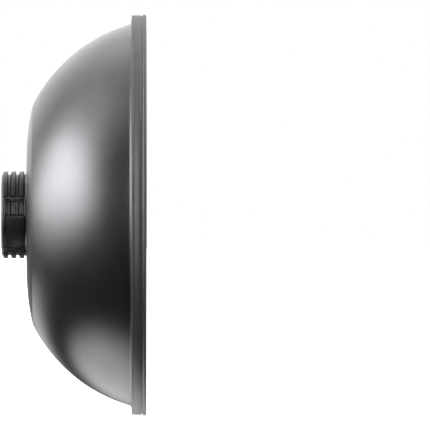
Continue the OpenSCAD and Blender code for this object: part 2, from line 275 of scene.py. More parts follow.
def arc(centre, radius, start, end, steps):
    """Points (r, x) along an arc, with angles counted from outwards towards the mouth."""
    points = []
    for i in range(steps + 1):
        a = start + (end - start) * i / steps
        points.append((centre[0] + radius * math.cos(a), centre[1] + radius * math.sin(a)))
    return points


def angle_from(centre, point):
    """Angle of a point (r, x) as seen from a centre."""
    return math.atan2(point[1] - centre[1], point[0] - centre[0])


def outline_loop(bm, points, eased=(), ease=0.0, segments=3):
    """A closed outline of (r, x) points on the XY plane, with some of its corners rounded."""
    verts = [bm.verts.new((x, r, 0)) for r, x in points]
    face = bm.faces.new(verts)
    corners = [verts[i] for i in eased]
    if corners:
        bmesh.ops.bevel(
            bm, geom=corners, offset=ease, segments=segments, profile=0.5,
            affect="VERTICES", material=-1, clamp_overlap=True,
        )
    bmesh.ops.delete(bm, geom=bm.faces[:], context="FACES_ONLY")
    return bm.verts[:] + bm.edges[:]


def full_turn(bm, geom, steps):
    """Spins an outline once round the lamp axis."""
    bmesh.ops.spin(
        bm, geom=geom, cent=(0, 0, 0), axis=(1, 0, 0), dvec=(0, 0, 0),
        angle=math.tau, steps=steps, use_merge=True, use_duplicate=False,
    )


def open_outline(bm, points):
    """An open outline of (r, x) points on the XY plane, from the axis back to the axis."""
    verts = [bm.verts.new((x, r, 0)) for r, x in points]
    edges = [bm.edges.new(pair) for pair in zip(verts, verts[1:])]
    return verts + edges


def piece_from(bm, name, sharp=math.radians(35)):
    """A finished piece from a bmesh: doubles merged, faces outwards, smooth between sharp edges."""
    bmesh.ops.remove_doubles(bm, verts=bm.verts, dist=MERGE)
    bmesh.ops.dissolve_degenerate(bm, edges=bm.edges, dist=MERGE / 10)
    bmesh.ops.recalc_face_normals(bm, faces=bm.faces)
    mesh = bpy.data.meshes.new(name)
    bm.to_mesh(mesh)
    bm.free()
    mesh.shade_smooth()
    mesh.set_sharp_from_angle(angle=sharp)
    piece = bpy.data.objects.new(name, mesh)
    bpy.context.scene.collection.objects.link(piece)
    return piece


def hand_over(piece, body, slot, nodes, *finishes):
    """Gives a piece its body and its materials, and hides the nodes that it stands for. The slot is not used."""
    for finish in finishes:
        piece.data.materials.append(MATERIALS[finish])
    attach(piece, body)
    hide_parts(*nodes)


def eased_copy(node, name, width, angle=math.radians(30)):
    """A copy of a CAD node with its doubles merged and its sharp edges rounded."""
    bm = bmesh.new()
    bm.from_mesh(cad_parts[node].data)
    bmesh.ops.remove_doubles(bm, verts=bm.verts, dist=2 * MERGE)
    bmesh.ops.dissolve_limit(
        bm, angle_limit=math.radians(0.5), verts=bm.verts, edges=bm.edges, delimit={"NORMAL"},
    )
    sharp = [e for e in bm.edges if len(e.link_faces) == 2 and e.calc_face_angle() > angle]
    bmesh.ops.bevel(
        bm, geom=sharp, offset=width, offset_type="OFFSET", segments=2, profile=0.5,
        affect="EDGES", material=-1, clamp_overlap=True,
    )
    return piece_from(bm, name)


# ---------------------------------------------------------------- shared effects


def new_group(name, inputs, outputs):
    """An empty node group with its sockets, its input node and its output node."""
    group = bpy.data.node_groups.new(name, "ShaderNodeTree")
    for label, kind, default in inputs:
        socket = group.interface.new_socket(name=label, in_out="INPUT", socket_type=kind)
        socket.default_value = default
    for label, kind in outputs:
        group.interface.new_socket(name=label, in_out="OUTPUT", socket_type=kind)
    return group, group.nodes.new("NodeGroupInput"), group.nodes.new("NodeGroupOutput")


def add(tree, kind, links=(), **values):
    """A node with its properties set, and its inputs set or linked by name or number."""
    node = tree.nodes.new(kind)
    for key, value in values.items():
        setattr(node, key, value)
    for key, value in dict(links).items():
        if isinstance(value, bpy.types.NodeSocket):
            tree.links.new(value, node.inputs[key])
        else:
            node.inputs[key].default_value = value
    return node


def math_node(tree, operation, a, b=0.0, clamp=False):
    """The result of a sum on values or sockets."""
    return add(tree, "ShaderNodeMath", {0: a, 1: b}, operation=operation, use_clamp=clamp).outputs[0]


def ramp(tree, value, low, high, out_low=0.0, out_high=1.0):
    """A value's range stretched to a new one, with both ends held."""
    node = add(
        tree, "ShaderNodeMapRange",
        {"Value": value, "From Min": low, "From Max": high, "To Min": out_low, "To Max": out_high},
        clamp=True,
    )
    return node.outputs["Result"]


def object_coordinates(tree):
    return tree.nodes.new("ShaderNodeTexCoord").outputs["Object"]


def build_grain():
    """Fine grain of a blasted, painted or moulded surface."""
    group, given, out = new_group(
        "fine_grain",
        [("Size", "NodeSocketFloat", 0.0006), ("Contrast", "NodeSocketFloat", 1.0)],
        [("Grain", "NodeSocketFloat"), ("Cloud", "NodeSocketFloat")],
    )
    place = object_coordinates(group)
    scale = math_node(group, "DIVIDE", 1.0, given.outputs["Size"])
    fine = add(
        group, "ShaderNodeTexNoise",
        {"Vector": place, "Scale": scale, "Detail": 3.0, "Roughness": 0.6},
    )
    cloud = add(
        group, "ShaderNodeTexNoise", {"Vector": place, "Scale": 14.0, "Detail": 4.0, "Roughness": 0.55},
    )
    centred = math_node(group, "SUBTRACT", fine.outputs["Fac"], 0.5)
    spread = math_node(group, "MULTIPLY", centred, given.outputs["Contrast"])
    group.links.new(math_node(group, "ADD", spread, 0.5, clamp=True), out.inputs["Grain"])
    group.links.new(ramp(group, cloud.outputs["Fac"], 0.3, 0.7), out.inputs["Cloud"])
    return group


def build_turning():
    """Concentric marks that spinning and turning leave round the lamp axis."""
    group, given, out = new_group(
        "turning_marks",
        [("Pitch", "NodeSocketFloat", 0.001), ("Wander", "NodeSocketFloat", 0.3)],
        [("Marks", "NodeSocketFloat"), ("Bands", "NodeSocketFloat")],
    )
    parts = add(group, "ShaderNodeSeparateXYZ", {0: object_coordinates(group)})
    across = add(
        group, "ShaderNodeCombineXYZ", {"X": parts.outputs["Y"], "Y": parts.outputs["Z"]},
    )
    radius = add(
        group, "ShaderNodeVectorMath", {0: across.outputs[0]}, operation="LENGTH",
    ).outputs["Value"]
    along = math_node(group, "SUBTRACT", radius, parts.outputs["X"])
    lines = math_node(group, "DIVIDE", along, given.outputs["Pitch"])
    around = add(
        group, "ShaderNodeVectorMath",
        {0: across.outputs[0], "Scale": given.outputs["Wander"]}, operation="SCALE",
    )
    split = add(group, "ShaderNodeSeparateXYZ", {0: around.outputs[0]})
    place = add(
        group, "ShaderNodeCombineXYZ",
        {"X": lines, "Y": split.outputs["X"], "Z": split.outputs["Y"]},
    )
    marks = add(
        group, "ShaderNodeTexNoise",
        {"Vector": place.outputs[0], "Scale": 1.0, "Detail": 2.0, "Roughness": 0.7},
    )
    wide = add(
        group, "ShaderNodeTexNoise",
        {"Vector": place.outputs[0], "Scale": 0.09, "Detail": 2.0, "Roughness": 0.5},
    )
    group.links.new(marks.outputs["Fac"], out.inputs["Marks"])
    group.links.new(ramp(group, wide.outputs["Fac"], 0.35, 0.65), out.inputs["Bands"])
    return group


def build_wear():
    """Where use has rubbed an edge bright, broken up by noise."""
    group, given, out = new_group(
        "edge_wear",
        [("Reach", "NodeSocketFloat", 0.04), ("Patches", "NodeSocketFloat", 90.0)],
        [("Wear", "NodeSocketFloat")],
    )
    geometry = group.nodes.new("ShaderNodeNewGeometry")
    high = math_node(group, "ADD", given.outputs["Reach"], 0.5)
    edge = ramp(group, geometry.outputs["Pointiness"], 0.505, high)
    noise = add(
        group, "ShaderNodeTexNoise",
        {"Vector": object_coordinates(group), "Scale": given.outputs["Patches"], "Detail": 5.0},
    )
    patches = ramp(group, noise.outputs["Fac"], 0.42, 0.66)
    group.links.new(math_node(group, "MULTIPLY", edge, patches, clamp=True), out.inputs["Wear"])
    return group


def build_dust():
    """Thin dust, thicker on faces that look up."""
    group, given, out = new_group(
        "settled_dust", [("Amount", "NodeSocketFloat", 0.15)], [("Dust", "NodeSocketFloat")],
    )
    geometry = group.nodes.new("ShaderNodeNewGeometry")
    up = add(group, "ShaderNodeSeparateXYZ", {0: geometry.outputs["Normal"]}).outputs["Z"]
    lying = ramp(group, up, -0.2, 0.95, 0.25, 1.0)
    noise = add(
        group, "ShaderNodeTexNoise",
        {"Vector": object_coordinates(group), "Scale": 38.0, "Detail": 7.0, "Roughness": 0.68},
    )
    film = math_node(group, "MULTIPLY", ramp(group, noise.outputs["Fac"], 0.35, 0.75), lying)
    group.links.new(math_node(group, "MULTIPLY", film, given.outputs["Amount"]), out.inputs["Dust"])
    return group


# ---------------------------------------------------------------- materials

DUST_ON_METAL = (0.55, 0.54, 0.52, 1.0)
DUST_ON_ENAMEL = (0.62, 0.60, 0.56, 1.0)
DUST_ON_RUBBER = (0.17, 0.165, 0.155, 1.0)
DUST_ON_PLASTIC = (0.14, 0.135, 0.13, 1.0)
RUBBED_ENAMEL = (0.55, 0.55, 0.54, 1.0)


def begin_material(name, **plain):
    """A material whose shader has these plain numbers on its own sockets."""
    material = bpy.data.materials.new(name)
    material.use_nodes = True
    tree = material.node_tree
    shader = tree.nodes["Principled BSDF"]
    for key, value in plain.items():
        shader.inputs[key.replace("_", " ").title().replace("Ior", "IOR")].default_value = value
    MATERIALS[name] = material
    return tree, shader


def effect(tree, groups, name, **values):
    """The outputs of a shared effect placed in a material with its own values."""
    node = tree.nodes.new("ShaderNodeGroup")
    node.node_tree = groups[name]
    for key, value in values.items():
        node.inputs[key.title()].default_value = value
    return node.outputs


def mix_colour(tree, factor, a, b):
    """Colour a turned into colour b by the factor."""
    return add(tree, "ShaderNodeMix", {0: factor, 6: a, 7: b}, data_type="RGBA").outputs[2]


def mix_value(tree, factor, a, b):
    """Value a turned into value b by the factor."""
    return add(tree, "ShaderNodeMix", {0: factor, 2: a, 3: b}, data_type="FLOAT").outputs[0]


def shade(colour, factor):
    """A lighter or darker shade of a colour, with its alpha."""
    return tuple(min(c * factor, 1.0) for c in colour) + (1.0,)


def bump(tree, shader, height, distance):
    """Raises the surface by a height map, up to a distance in metres."""
    node = add(
        tree, "ShaderNodeBump", {"Height": height, "Distance": distance, "Strength": 1.0},
    )
    tree.links.new(node.outputs["Normal"], shader.inputs["Normal"])


def satin_metal(groups, name, colour, rough, grain, turned, dust, metallic, rubbing):
    """Satin finish on spun aluminium: grain, faint spinning marks, rubbed edges and dust."""
    tree, shader = begin_material(name, metallic=metallic)
    fine = effect(tree, groups, "fine_grain", size=grain, contrast=1.6)
    marks = effect(tree, groups, "turning_marks", pitch=0.0011, wander=5.0)
    worn = effect(tree, groups, "edge_wear", reach=0.06, patches=60.0)
    settled = effect(tree, groups, "settled_dust", amount=dust)
    toned = mix_colour(tree, fine["Grain"], shade(colour, 0.84), shade(colour, 1.16))
    banded = mix_colour(
        tree, math_node(tree, "MULTIPLY", marks["Bands"], turned), toned, shade(colour, 1.25),
    )
    rubbed = mix_colour(
        tree, math_node(tree, "MULTIPLY", worn["Wear"], rubbing), banded, shade(colour, 2.2),
    )
    dusty = mix_colour(tree, settled["Dust"], rubbed, DUST_ON_METAL)
    tree.links.new(dusty, shader.inputs["Base Color"])
    base = ramp(tree, fine["Cloud"], 0.0, 1.0, rough - 0.03, rough + 0.03)
    lined = math_node(
        tree, "ADD", base, math_node(tree, "MULTIPLY", marks["Marks"], 0.10 * turned),
    )
    dulled = mix_value(tree, settled["Dust"], lined, 0.75)
    tree.links.new(dulled, shader.inputs["Roughness"])
    height = math_node(
        tree, "ADD", fine["Grain"], math_node(tree, "MULTIPLY", marks["Marks"], 1.5 * turned),
    )
    bump(tree, shader, height, 0.00003)


def brushed_round(name, amount):
    """Stretches a finish's highlights across marks that run round the lamp axis."""
    tree = MATERIALS[name].node_tree
    shader = tree.nodes["Principled BSDF"]
    shader.inputs["Anisotropic"].default_value = amount
    shader.inputs["Anisotropic Rotation"].default_value = 0.0
    along = add(tree, "ShaderNodeTangent", direction_type="RADIAL", axis="X")
    tree.links.new(along.outputs["Tangent"], shader.inputs["Tangent"])


def enamel(groups, name, colour):
    """Matt enamel: orange peel, small dull marks and rubbed corners."""
    tree, shader = begin_material(name)
    fine = effect(tree, groups, "fine_grain", size=0.0011, contrast=1.2)
    worn = effect(tree, groups, "edge_wear", reach=0.09, patches=130.0)
    settled = effect(tree, groups, "settled_dust", amount=0.10)
    clouded = mix_colour(tree, fine["Cloud"], shade(colour, 0.965), shade(colour, 1.01))
    dusty = mix_colour(tree, settled["Dust"], clouded, DUST_ON_ENAMEL)
    rubbed = mix_colour(
        tree, math_node(tree, "MULTIPLY", worn["Wear"], 0.35), dusty, RUBBED_ENAMEL,
    )
    tree.links.new(rubbed, shader.inputs["Base Color"])
    tree.links.new(
        ramp(tree, fine["Grain"], 0.0, 1.0, 0.42, 0.58), shader.inputs["Roughness"],
    )
    bump(tree, shader, fine["Grain"], 0.00004)


def moulded_rubber(groups, name, colour):
    """Moulded rubber: fine texture, grey bloom and dust in the grooves."""
    tree, shader = begin_material(name)
    fine = effect(tree, groups, "fine_grain", size=0.0005, contrast=1.4)
    worn = effect(tree, groups, "edge_wear", reach=0.05, patches=150.0)
    settled = effect(tree, groups, "settled_dust", amount=0.05)
    clouded = mix_colour(tree, fine["Cloud"], shade(colour, 0.85), shade(colour, 1.2))
    bloom = mix_colour(tree, worn["Wear"], clouded, shade(colour, 2.4))
    dusty = mix_colour(tree, settled["Dust"], bloom, DUST_ON_RUBBER)
    tree.links.new(dusty, shader.inputs["Base Color"])
    rough = ramp(tree, fine["Grain"], 0.0, 1.0, 0.30, 0.46)
    tree.links.new(mix_value(tree, settled["Dust"], rough, 0.85), shader.inputs["Roughness"])
    bump(tree, shader, fine["Grain"], 0.00005)


def moulded_plastic(groups, name, colour):
    """Spark-textured plastic, polished where fingers press it."""
    tree, shader = begin_material(name)
    fine = effect(tree, groups, "fine_grain", size=0.00035, contrast=1.8)
    worn = effect(tree, groups, "edge_wear", reach=0.06, patches=110.0)
    settled = effect(tree, groups, "settled_dust", amount=0.012)
    rubbed = mix_colour(tree, worn["Wear"], shade(colour, 1.0), shade(colour, 3.0))
    dusty = mix_colour(tree, settled["Dust"], rubbed, DUST_ON_PLASTIC)
    tree.links.new(dusty, shader.inputs["Base Color"])
    rough = ramp(tree, fine["Cloud"], 0.0, 1.0, 0.55, 0.68)
    tree.links.new(mix_value(tree, worn["Wear"], rough, 0.28), shader.inputs["Roughness"])
    bump(tree, shader, fine["Grain"], 0.00004)


def blacked_steel(groups, name, colour, bare):
    """Blacked steel with its edges and touching faces rubbed through to bare metal."""
    tree, shader = begin_material(name, specular_ior_level=0.6)
    fine = effect(tree, groups, "fine_grain", size=0.0004, contrast=1.4)
    worn = effect(tree, groups, "edge_wear", reach=0.07, patches=260.0)
    clouded = mix_colour(tree, fine["Cloud"], shade(colour, 0.8), shade(colour, 1.5))
    bared = math_node(tree, "MULTIPLY", worn["Wear"], 0.22)
    rubbed = mix_colour(tree, bared, clouded, shade(bare, 0.8))
    tree.links.new(rubbed, shader.inputs["Base Color"])
    tree.links.new(bared, shader.inputs["Metallic"])
    tree.links.new(ramp(tree, fine["Cloud"], 0.0, 1.0, 0.26, 0.40), shader.inputs["Roughness"])
    bump(tree, shader, fine["Grain"], 0.00002)


def bare_metal(groups, name, colour, rough, turned):
    """Bare metal with tool marks round the axis and a slight tarnish."""
    tree, shader = begin_material(name, metallic=1.0)
    fine = effect(tree, groups, "fine_grain", size=0.0004, contrast=1.2)
    marks = effect(tree, groups, "turning_marks", pitch=0.00022, wander=8.0)
    tarnished = mix_colour(tree, fine["Cloud"], shade(colour, 0.78), shade(colour, 1.1))
    tree.links.new(tarnished, shader.inputs["Base Color"])
    lined = ramp(tree, marks["Marks"], 0.2, 0.8, rough - 0.06, rough + 0.10)
    tree.links.new(lined, shader.inputs["Roughness"])
    height = math_node(
        tree, "ADD", fine["Grain"], math_node(tree, "MULTIPLY", marks["Marks"], turned),
    )
    bump(tree, shader, height, 0.00002)


class REFLECTOR_OT_finishes(Operator):
    """Mix the shared effects and the object's finishes"""

    bl_idname = "reflector.finishes"
    bl_label = "Mix finishes"

    def execute(self, context):
        tint = context.scene.reflector_finishes
        groups = {
            "fine_grain": build_grain(),
            "turning_marks": build_turning(),
            "edge_wear": build_wear(),
            "settled_dust": build_dust(),
        }
        satin_metal(
            groups, "dish_outside", tint.outside, rough=0.31, grain=0.0007, turned=0.25,
            dust=0.03, metallic=0.95, rubbing=0.12,
        )
        satin_metal(
            groups, "dish_inside", tint.inside, rough=0.42, grain=0.0012, turned=0.5,
            dust=0.03, metallic=0.9, rubbing=0.1,
        )
        satin_metal(
            groups, "hoop_satin", tint.hoop, rough=0.40, grain=0.0006, turned=0.4,
            dust=0.02, metallic=0.95, rubbing=0.08,
        )
        brushed_round("hoop_satin", 0.85)
        enamel(groups, "white_enamel", tint.enamel)
        moulded_rubber(groups, "collar_rubber", tint.rubber)
        moulded_plastic(groups, "lever_plastic", tint.plastic)
        blacked_steel(groups, "black_steel", tint.black_metal, tint.bare_metal)
        bare_metal(groups, "bare_steel", tint.bare_metal, rough=0.30, turned=0.2)
        bare_metal(groups, "neck_metal", tint.neck_metal, rough=0.28, turned=1.0)
        return {"FINISHED"}


# ---------------------------------------------------------------- pieces


DOME_STEPS, WALL_STEPS, BEND_STEPS = 14, 56, 8


def bowl_face(sizes, inset, bend_start):
    """One face of the spun sheet, inset from the outer one, from the neck to the flange's edge."""
    flange_r = BOWL_HIGH.y
    mouth_r = flange_r - sizes.mouth_inset
    back_x, mouth_x = BOWL_LOW.x, BOWL_HIGH.x
    dome_centre = (sizes.flat_radius, back_x + sizes.dome_radius)
    dome_width = sizes.crease_radius - sizes.flat_radius
    dome_end = math.asin(dome_width / sizes.dome_radius) - math.pi / 2
    crease = arc(dome_centre, sizes.dome_radius, dome_end, dome_end, 1)[0]
    wall_end = (mouth_r, mouth_x - sizes.bend_radius - sizes.sheet)
    middle = ((crease[0] + wall_end[0]) / 2, (crease[1] + wall_end[1]) / 2)
    chord = (wall_end[0] - crease[0], wall_end[1] - crease[1])
    length = math.hypot(*chord)
    height = math.sqrt(sizes.wall_radius**2 - length**2 / 4)
    centre = (middle[0] - chord[1] / length * height, middle[1] + chord[0] / length * height)
    wall_start = angle_from(centre, crease) + math.radians(0.6)
    wall_stop = angle_from(centre, wall_end)
    bend_centre = (mouth_r + sizes.bend_radius + sizes.bend_setback, wall_end[1])
    points = [(SLEEVE_R + SLEEVE_PLAY, back_x + inset)]
    points += arc(dome_centre, sizes.dome_radius - inset, -math.pi / 2, dome_end, DOME_STEPS)
    points += arc(centre, sizes.wall_radius - inset, wall_start, wall_stop, WALL_STEPS)
    points += arc(bend_centre, sizes.bend_radius + inset, bend_start, math.pi / 2, BEND_STEPS)
    points += [(flange_r, mouth_x - sizes.sheet + inset)]
    return points


class REFLECTOR_OT_dish(Operator):
    """Spin the dish: flat back, shallow dome, crease, curved wall and flange"""

    bl_idname = "reflector.dish"
    bl_label = "Spin dish"

    def execute(self, context):
        sizes = context.scene.reflector_dish
        outer = bowl_face(sizes, 0, math.radians(172))
        inner = bowl_face(sizes, sizes.sheet, math.radians(150))
        crease = DOME_STEPS + 1
        creases = (crease, len(outer) + len(inner) - 1 - crease)
        bm = bmesh.new()
        loop = outline_loop(bm, outer + inner[::-1], creases, sizes.crease_ease, 4)
        full_turn(bm, loop, sizes.steps)
        piece = piece_from(bm, "dish")
        hand_over(piece, "reflector", "bowl_sheet", ["reflector_bowl"], "dish_outside", "dish_inside")
        for polygon in piece.data.polygons:
            polygon.material_index = int(self.faces_lamp(polygon))
        return {"FINISHED"}

    @staticmethod
    def faces_lamp(polygon):
        """True on the reflecting face, which looks towards the axis or out of the mouth."""
        centre, normal = polygon.center, polygon.normal
        outwards = Vector((0, centre.y, centre.z)).normalized()
        return normal.dot(outwards) < 0.25 and normal.x > -0.2


# Starts of the bead's outer and inner faces, in mm outwards and forwards from its centre
BEAD_FOOT = (1.1, -2.35)
WIRE_FOOT = (0.25, -1.6)
# The slope from the hem up to the band, in mm under the band and in front of the hoop's rear
HEM_SLOPE = ((0.55, 1.35), (0.1, 1.8), (0, 2.2))
# The bend from the band to the shoulder, in mm under the band's inside and before the shoulder
SHOULDER_BEND = ((0, 0.8), (0.25, 0.25), (0.8, 0))


class REFLECTOR_OT_hoop(Operator):
    """Roll the hoop: shoulder, hem, band, groove and a bead closed round its wire"""

    bl_idname = "reflector.hoop"
    bl_label = "Roll hoop"

    def execute(self, context):
        sizes = context.scene.reflector_hoop
        sheet = context.scene.reflector_dish.sheet
        rear_x, front_x = HOOP_LOW.x, HOOP_HIGH.x
        band_r = HOOP_HIGH.y - sizes.bead_height
        inner_r = band_r - sheet
        shoulder_x = rear_x + sheet
        bead = (HOOP_HIGH.y - sizes.bead_radius, front_x - sizes.bead_radius)
        hem = (band_r - sizes.hem_radius, rear_x + 0.1 * MM)
        bead_start, wire_start = angle_from((0, 0), BEAD_FOOT), angle_from((0, 0), WIRE_FOOT)
        bead_end = math.radians(-130) + math.tau
        groove_x = bead[1] + sizes.bead_radius * math.sin(bead_start)
        groove_rear_x = groove_x - sizes.groove_width
        groove_r = band_r - sizes.groove_depth
        ease = sizes.groove_ease
        points = [(inner_r - sizes.shoulder, rear_x), (hem[0] - sizes.hem_radius, rear_x)]
        points += arc(hem, sizes.hem_radius, math.radians(-175), math.radians(40), 10)
        points += [(band_r - under * MM, rear_x + along * MM) for under, along in HEM_SLOPE]
        points += [(band_r, groove_rear_x - 1.5 * ease), (band_r - ease, groove_rear_x)]
        points += [(groove_r, groove_rear_x + ease), (groove_r, groove_x - 0.75 * ease)]
        points += arc(bead, sizes.bead_radius, bead_start, bead_end, 26)
        points += arc(bead, sizes.wire_radius, bead_end, wire_start, 18)
        points += [(inner_r, bead[1] - sizes.wire_radius - 0.1 * MM)]
        points += [(inner_r - under * MM, shoulder_x + along * MM) for under, along in SHOULDER_BEND]
        points += [(inner_r - sizes.shoulder, shoulder_x)]
        bm = bmesh.new()
        full_turn(bm, outline_loop(bm, points), context.scene.reflector_dish.steps)
        piece = piece_from(bm, "hoop")
        hand_over(piece, "reflector", "hoop_metal", ["rim_hoop"], "hoop_satin", "dish_inside")
        for polygon in piece.data.polygons:
            within = math.hypot(*polygon.center.yz) < band_r - sheet * 0.8
            polygon.material_index = int(within and polygon.center.x > rear_x + sheet / 2)
        return {"FINISHED"}


class REFLECTOR_OT_deflector(Operator):
    """Turn the deflector disc with a rounded edge"""

    bl_idname = "reflector.deflector"
    bl_label = "Turn deflector"

    rings = (0, 0.3, 0.7)
    steps = 192

    def execute(self, context):
        radius = DISC_HIGH.y
        back_x, front_x = DISC_LOW.x, DISC_HIGH.x
        edge = (front_x - back_x) / 2
        middle = (radius - edge, (back_x + front_x) / 2)
        points = [(radius * share, back_x) for share in self.rings]
        points += arc(middle, edge, -math.pi / 2, math.pi / 2, 12)
        points += [(radius * share, front_x) for share in reversed(self.rings)]
        bm = bmesh.new()
        full_turn(bm, open_outline(bm, points), self.steps)
        piece = piece_from(bm, "deflector")
        hand_over(piece, "reflector", "white_enamel", ["deflector_disc"], "white_enamel")
        return {"FINISHED"}


# Angles on the collar are counted from the latch side, -Y, towards +Z, in degrees
SPLIT = (-4.25, -3.75)
WINDOW = (-53.0, 26.0)
WINDOW_X = 3.2 * MM
HUB_END = 1.2
CATCH = (19.5, 21.2)
# Widths of the window's walls, in degrees round the collar and in metres along it
WALL_TURN = 0.3
WALL_X = 0.15 * MM
RIB_END_X = 0.1 * MM


def recess(sizes, angle, x):
    """Depth that the rubber is cut down under its rib tops at a place, or None beside the latch."""
    if not WINDOW[0] < angle < WINDOW[1] or x < WINDOW_X:
        return None
    if angle < HUB_END:
        return sizes.hinge_recess
    if angle < CATCH[0] and LEVER_LOW.x <= x <= LEVER_HIGH.x:
        return sizes.rib_recess
    return sizes.bail_recess


class REFLECTOR_OT_collar(Operator):
    """Mould the split rubber collar with its ribs and the recess under the latch"""

    bl_idname = "reflector.collar"
    bl_label = "Mould collar"

    # Slope of the rear edge, and the fillet in front of each rib, in metres
    rear_ease = 0.6 * MM
    fillet = ((0.5 * MM, 0.3 * MM), (0, 0.7 * MM))
    # The groove inside that takes the sleeve's lip, in metres from the sleeve's face and rear
    lip_depth, lip_width = 0.7 * MM, 1.2 * MM

    def rib(self, sizes, x, rib_r, groove_r):
        """Outline of one rib: a slope at its rear, a flat top and a steep front."""
        ease = sizes.rib_ease
        top, steep = x + sizes.rib_slope, x + sizes.rib_width
        points = [(groove_r, x), (rib_r - ease * 1.6, top - 0.25 * ease)]
        points += arc((rib_r - ease, top + ease), ease, math.radians(-60), 0, 3)
        points += [(rib_r, steep - ease)]
        points += arc((rib_r - ease, steep - ease), ease, math.radians(15), math.radians(90), 4)
        return points + [(groove_r + up, steep + along) for up, along in self.fillet]

    def outline(self, sizes):
        """Section of the collar: ribs outside, and inside the bore, the lip's groove and the sleeve."""
        rib_r = COLLAR_HIGH.y
        groove_r = rib_r - sizes.rib_height
        bead, length = sizes.bead_height, COLLAR_HIGH.x
        sleeve_x = SLEEVE_LOW.x
        lip_r, lip_x = SLEEVE_R + self.lip_depth, sleeve_x + self.lip_width
        points = [(sizes.bore_radius, 0), (groove_r - self.rear_ease, 0)]
        for i in range(sizes.rib_count):
            points += self.rib(sizes, sizes.rib_start + i * sizes.rib_pitch, rib_r, groove_r)
        points += [(groove_r, length - 1.4 * bead), (groove_r + bead, length - bead)]
        points += [(groove_r + bead, length), (SLEEVE_R, length), (SLEEVE_R, lip_x)]
        points += [(lip_r, lip_x), (lip_r, sleeve_x), (sizes.bore_radius, sleeve_x)]
        return points

    def execute(self, context):
        sizes = context.scene.reflector_collar
        bm = bmesh.new()
        outline_loop(bm, self.outline(sizes))
        cuts = [WINDOW_X, WINDOW_X + WALL_X, LEVER_LOW.x, LEVER_LOW.x + RIB_END_X]
        cuts += [LEVER_HIGH.x - RIB_END_X, LEVER_HIGH.x]
        for x in cuts:
            geom = bm.verts[:] + bm.edges[:]
            bmesh.ops.bisect_plane(bm, geom=geom, plane_co=(x, 0, 0), plane_no=(1, 0, 0))
        ring = bm.verts[:] + bm.edges[:]
        # The outline lies on +Y, half a turn from the latch, and is turned to the split first
        stops = [SPLIT[1], HUB_END, HUB_END + WALL_TURN, *CATCH, WINDOW[1] - WALL_TURN, WINDOW[1]]
        stops += [a + 360 for a in (WINDOW[0], WINDOW[0] + WALL_TURN, SPLIT[0])]
        bmesh.ops.rotate(
            bm, verts=bm.verts, cent=(0, 0, 0),
            matrix=Matrix.Rotation(math.radians(180 - stops[0]), 3, "X"),
        )
        for a, b in zip(stops, stops[1:]):
            steps = max(1, round(math.radians(b - a) / sizes.turn_step))
            made = bmesh.ops.spin(
                bm, geom=ring, cent=(0, 0, 0), axis=(-1, 0, 0), dvec=(0, 0, 0),
                angle=math.radians(b - a), steps=steps, use_merge=False, use_duplicate=False,
            )
            ring = made["geom_last"]
        bmesh.ops.holes_fill(bm, edges=[e for e in bm.edges if e.is_boundary], sides=0)
        for vert in bm.verts:
            radius = math.hypot(vert.co.y, vert.co.z)
            angle = math.degrees(math.atan2(vert.co.z, -vert.co.y))
            depth = recess(sizes, angle, vert.co.x)
            if depth is not None and radius > COLLAR_HIGH.y - depth:
                vert.co.yz *= (COLLAR_HIGH.y - depth) / radius
        piece = piece_from(bm, "collar", math.radians(40))
        hand_over(piece, "reflector", "collar_rubber", ["rubber_collar"], "collar_rubber")
        return {"FINISHED"}


class REFLECTOR_OT_latch(Operator):
    """Round the edges of the latch's moulded and pressed parts"""

    bl_idname = "reflector.latch"
    bl_label = "Ease latch parts"

    lever_ease = 0.35 * MM
    base_ease = 0.15 * MM

    def execute(self, context):
        lever = eased_copy("latch_lever", "lever", self.lever_ease)
        hand_over(lever, "lever", "lever_plastic", ["latch_lever"], "lever_plastic")
        base = eased_copy("latch_base", "hinge_base", self.base_ease)
        hand_over(base, "reflector", "black_steel", ["latch_base"], "black_steel")
        return {"FINISHED"}


class REFLECTOR_OT_screws(Operator):
    """Turn the low-headed screws that hold the dish's back to the ring inside it"""

    bl_idname = "reflector.screws"
    bl_label = "Turn screws"

    # Outline of a crown, as shares of the head's radius and of its height
    crown = ((0, 1), (0.62, 1), (0.86, 0.8), (1, 0.3))
    rim = 0.05 * MM
    socket_wall = 0.22
    steps = 36

    def execute(self, context):
        sizes = context.scene.reflector_screws
        back_x, end_x = SCREW_LOW.x, SCREW_HIGH.x
        proud, head, shank = sizes.proud, sizes.head_radius, sizes.shank_radius
        crown = [(head * share, back_x - proud * height) for share, height in self.crown]
        countersink = [(head, back_x + self.rim), (shank, back_x + head - shank)]
        end = [(shank, end_x - sizes.tip), (shank - sizes.tip, end_x), (0, end_x)]
        bm = bmesh.new()
        full_turn(bm, open_outline(bm, crown + countersink + end), self.steps)
        bmesh.ops.remove_doubles(bm, verts=bm.verts, dist=MERGE)
        flat = [f for f in bm.faces if f.calc_center_median().x < back_x - proud * 0.99]
        middle = bmesh.ops.dissolve_faces(bm, faces=flat)["region"]
        bmesh.ops.inset_region(bm, faces=middle, thickness=head * self.socket_wall)
        bmesh.ops.translate(bm, verts=middle[0].verts[:], vec=(sizes.socket_depth, 0, 0))
        bmesh.ops.translate(bm, verts=bm.verts, vec=(0, sizes.circle_radius, 0))
        bmesh.ops.spin(
            bm, geom=bm.verts[:] + bm.edges[:] + bm.faces[:], cent=(0, 0, 0), axis=(1, 0, 0),
            dvec=(0, 0, 0), angle=math.tau, steps=sizes.count, use_merge=False, use_duplicate=True,
        )
        piece = piece_from(bm, "back_screws")
        hand_over(piece, "reflector", "bare_steel", ["floor_screws"], "bare_steel")
        return {"FINISHED"}


